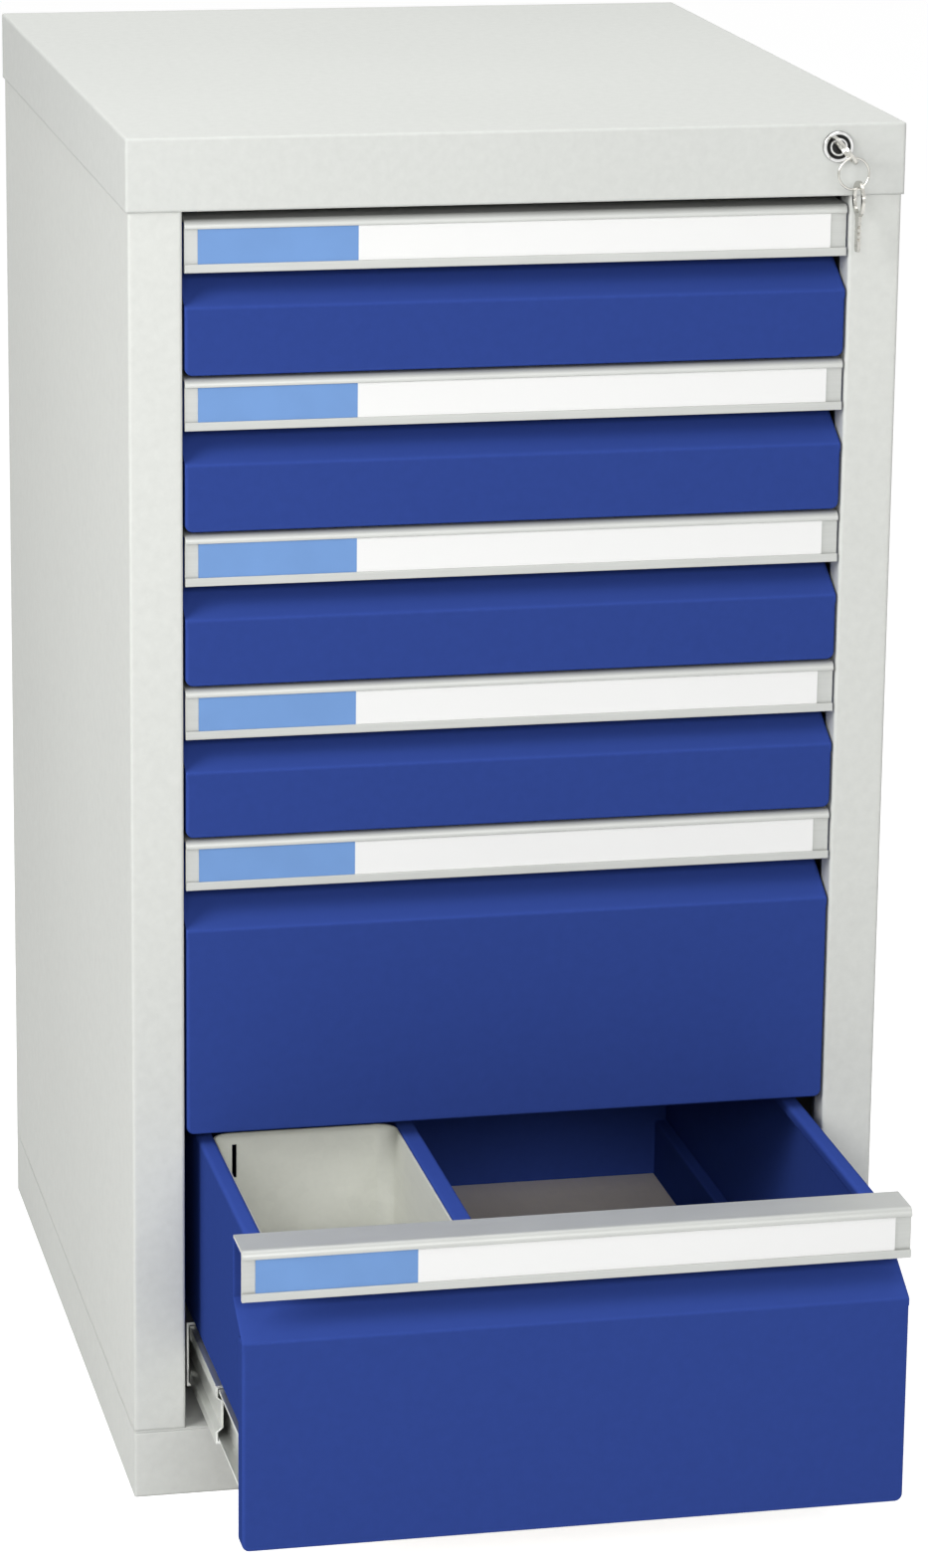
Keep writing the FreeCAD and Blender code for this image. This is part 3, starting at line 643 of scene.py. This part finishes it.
class CABINET_OT_set_rivets(bpy.types.Operator):
    """Set rivet heads down the back and along the inner runner members"""

    bl_idname = "cabinet.set_rivets"
    bl_label = "Set Rivets"

    def execute(self, context):
        fixings = context.scene.cabinet_fixings
        metal = context.scene.cabinet_metal
        paint = context.scene.cabinet_paint
        low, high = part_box("right_side_panel")
        levels = evenly(low.z + fixings.back_foot, high.z - fixings.back_head,
                        fixings.back_rivets)
        places = [Vector((side * (high.x - fixings.back_inset), high.y, level))
                  for side in (-1, 1) for level in levels]
        heads = rivet_heads("back_rivets", places, (0, 1, 0), fixings)
        heads.data.materials.append(powder_coat("rivet_grey", tuple(paint.body), paint,
                                                grey_sheen, grey_highlight_gain))
        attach(heads, "carcass")
        steel = polished_metal("rivet_steel", tuple(metal.runner), 0.25)
        for number in drawer_numbers:
            low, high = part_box("drawer_%d_inner_runners" % number)
            middle_low, middle_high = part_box("drawer_%d_middle_runners" % number)
            level = (middle_low.z + middle_high.z) / 2
            web = low.x + fixings.web_depth
            for side, label in ((1, "left"), (-1, "right")):
                spots = [Vector((side * web, y, level)) for y in
                         evenly(low.y + fixings.runner_inset, high.y - fixings.runner_inset,
                                fixings.runner_rivets)]
                name = "drawer_%d_%s_runner_rivets" % (number, label)
                piece = rivet_heads(name, spots, (-side, 0, 0), fixings)
                piece.data.materials.append(steel)
                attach(piece, "drawer_%d" % number)
        return {"FINISHED"}


def set_camera(studio):
    """Camera at the photograph's viewing angle."""
    yaw, pitch, roll = studio.yaw, studio.pitch, studio.roll
    forward = Vector((math.sin(yaw) * math.cos(pitch), math.cos(yaw) * math.cos(pitch),
                      -math.sin(pitch)))
    level_right = Vector((math.cos(yaw), -math.sin(yaw), 0.0))
    level_up = level_right.cross(forward)
    right = level_right * math.cos(roll) + level_up * math.sin(roll)
    up = right.cross(forward)
    data = bpy.data.cameras.new("camera")
    data.lens = studio.lens
    data.sensor_width = 36.0
    data.shift_y = studio.lift
    data.clip_start = 0.05
    data.clip_end = 100.0
    camera = bpy.data.objects.new("camera", data)
    camera.matrix_world = Matrix((
        (right.x, up.x, -forward.x, studio.camera_place[0]),
        (right.y, up.y, -forward.y, studio.camera_place[1]),
        (right.z, up.z, -forward.z, studio.camera_place[2]),
        (0.0, 0.0, 0.0, 1.0)))
    bpy.context.scene.collection.objects.link(camera)
    bpy.context.scene.camera = camera


def soft_lamp(name, place, width, height, power):
    """A large rectangular lamp aimed at the cabinet."""
    data = bpy.data.lights.new(name, "AREA")
    data.shape = "RECTANGLE"
    data.size = width
    data.size_y = height
    data.energy = power
    lamp = bpy.data.objects.new(name, data)
    lamp.location = place
    lamp.rotation_mode = "QUATERNION"
    lamp.rotation_quaternion = (Vector(lamp_target) - Vector(place)).to_track_quat("-Z", "Y")
    lamp.visible_camera = False
    bpy.context.scene.collection.objects.link(lamp)


def seen_directly(tree):
    """1 for camera, glossy and transmission rays, and 0 for light that bounces."""
    path = tree.nodes.new("ShaderNodeLightPath")
    either = combine(tree, "MAXIMUM", path.outputs["Is Camera Ray"],
                     path.outputs["Is Glossy Ray"])
    return combine(tree, "MAXIMUM", either, path.outputs["Is Transmission Ray"])


def set_sky(studio):
    """Even light from all round, seen as plain white."""
    world = bpy.data.worlds.new("studio")
    world.use_nodes = True
    tree = world.node_tree
    background = tree.nodes["Background"]
    background.inputs["Color"].default_value = (1.0, 1.0, 1.0, 1.0)
    level = remap(tree, seen_directly(tree), studio.sky, 1.0)
    tree.links.new(level, background.inputs["Strength"])
    bpy.context.scene.world = world


def set_floor(studio):
    """Pale floor that shows white and keeps a soft shadow."""
    half = studio.floor_size / 2
    mesh = bpy.data.meshes.new("floor")
    mesh.from_pydata([(-half, -half, 0), (half, -half, 0), (half, half, 0), (-half, half, 0)],
                     [], [(0, 1, 2, 3)])
    floor = bpy.data.objects.new("floor", mesh)
    bpy.context.scene.collection.objects.link(floor)
    material, tree, surface = new_finish("floor_white")
    surface.inputs["Roughness"].default_value = 0.9
    surface.inputs["Specular IOR Level"].default_value = 0.0
    surface.inputs["Base Color"].default_value = (floor_grey, floor_grey, floor_grey, 1.0)
    surface.inputs["Emission Color"].default_value = (1.0, 1.0, 1.0, 1.0)
    tree.links.new(remap(tree, seen_directly(tree), 0.0, floor_glow),
                   surface.inputs["Emission Strength"])
    mesh.materials.append(material)


class CABINET_OT_set_stage(bpy.types.Operator):
    """Set the floor, the lamps, the even light and the camera"""

    bl_idname = "cabinet.set_stage"
    bl_label = "Set Stage"

    def execute(self, context):
        studio = context.scene.cabinet_studio
        set_floor(studio)
        set_sky(studio)
        for name, place, width, height in lamps:
            soft_lamp(name + "_lamp", place, width, height, getattr(studio, name + "_power"))
        set_camera(studio)
        context.scene.view_settings.view_transform = "Standard"
        return {"FINISHED"}


class CABINET_PT_panel(bpy.types.Panel):
    """The cabinet's steps and settings in the sidebar."""

    bl_label = "Drawer Cabinet"
    bl_idname = "CABINET_PT_panel"
    bl_space_type = "VIEW_3D"
    bl_region_type = "UI"
    bl_category = "Cabinet"

    def draw(self, context):
        layout = self.layout
        for step in steps:
            layout.operator(step.bl_idname)
        for group in setting_groups:
            box = layout.box()
            box.label(text=group.__doc__)
            settings = getattr(context.scene, setting_names[group])
            for name in group.__annotations__:
                box.prop(settings, name)


setting_names = {
    CabinetPaint: "cabinet_paint",
    CabinetMetal: "cabinet_metal",
    CabinetLabel: "cabinet_label",
    CabinetFixings: "cabinet_fixings",
    CabinetStudio: "cabinet_studio",
}
setting_groups = tuple(setting_names)
steps = (
    CABINET_OT_paint_carcass,
    CABINET_OT_paint_drawers,
    CABINET_OT_finish_grip_strips,
    CABINET_OT_print_labels,
    CABINET_OT_finish_drawer_linings,
    CABINET_OT_finish_runners,
    CABINET_OT_finish_lock,
    CABINET_OT_set_rivets,
    CABINET_OT_set_stage,
)
classes = setting_groups + steps + (CABINET_PT_panel,)


def register():
    for each in classes:
        bpy.utils.register_class(each)
    for group, name in setting_names.items():
        setattr(bpy.types.Scene, name, PointerProperty(type=group))


def unregister():
    for name in setting_names.values():
        delattr(bpy.types.Scene, name)
    for each in reversed(classes):
        bpy.utils.unregister_class(each)


def main():
    register()
    bpy.ops.cabinet.paint_carcass()
    bpy.ops.cabinet.paint_drawers()
    bpy.ops.cabinet.finish_grip_strips()
    bpy.ops.cabinet.print_labels()
    bpy.ops.cabinet.finish_drawer_linings()
    bpy.ops.cabinet.finish_runners()
    bpy.ops.cabinet.finish_lock()
    bpy.ops.cabinet.set_rivets()
    bpy.ops.cabinet.set_stage()


if __name__ == "__main__":
    main()
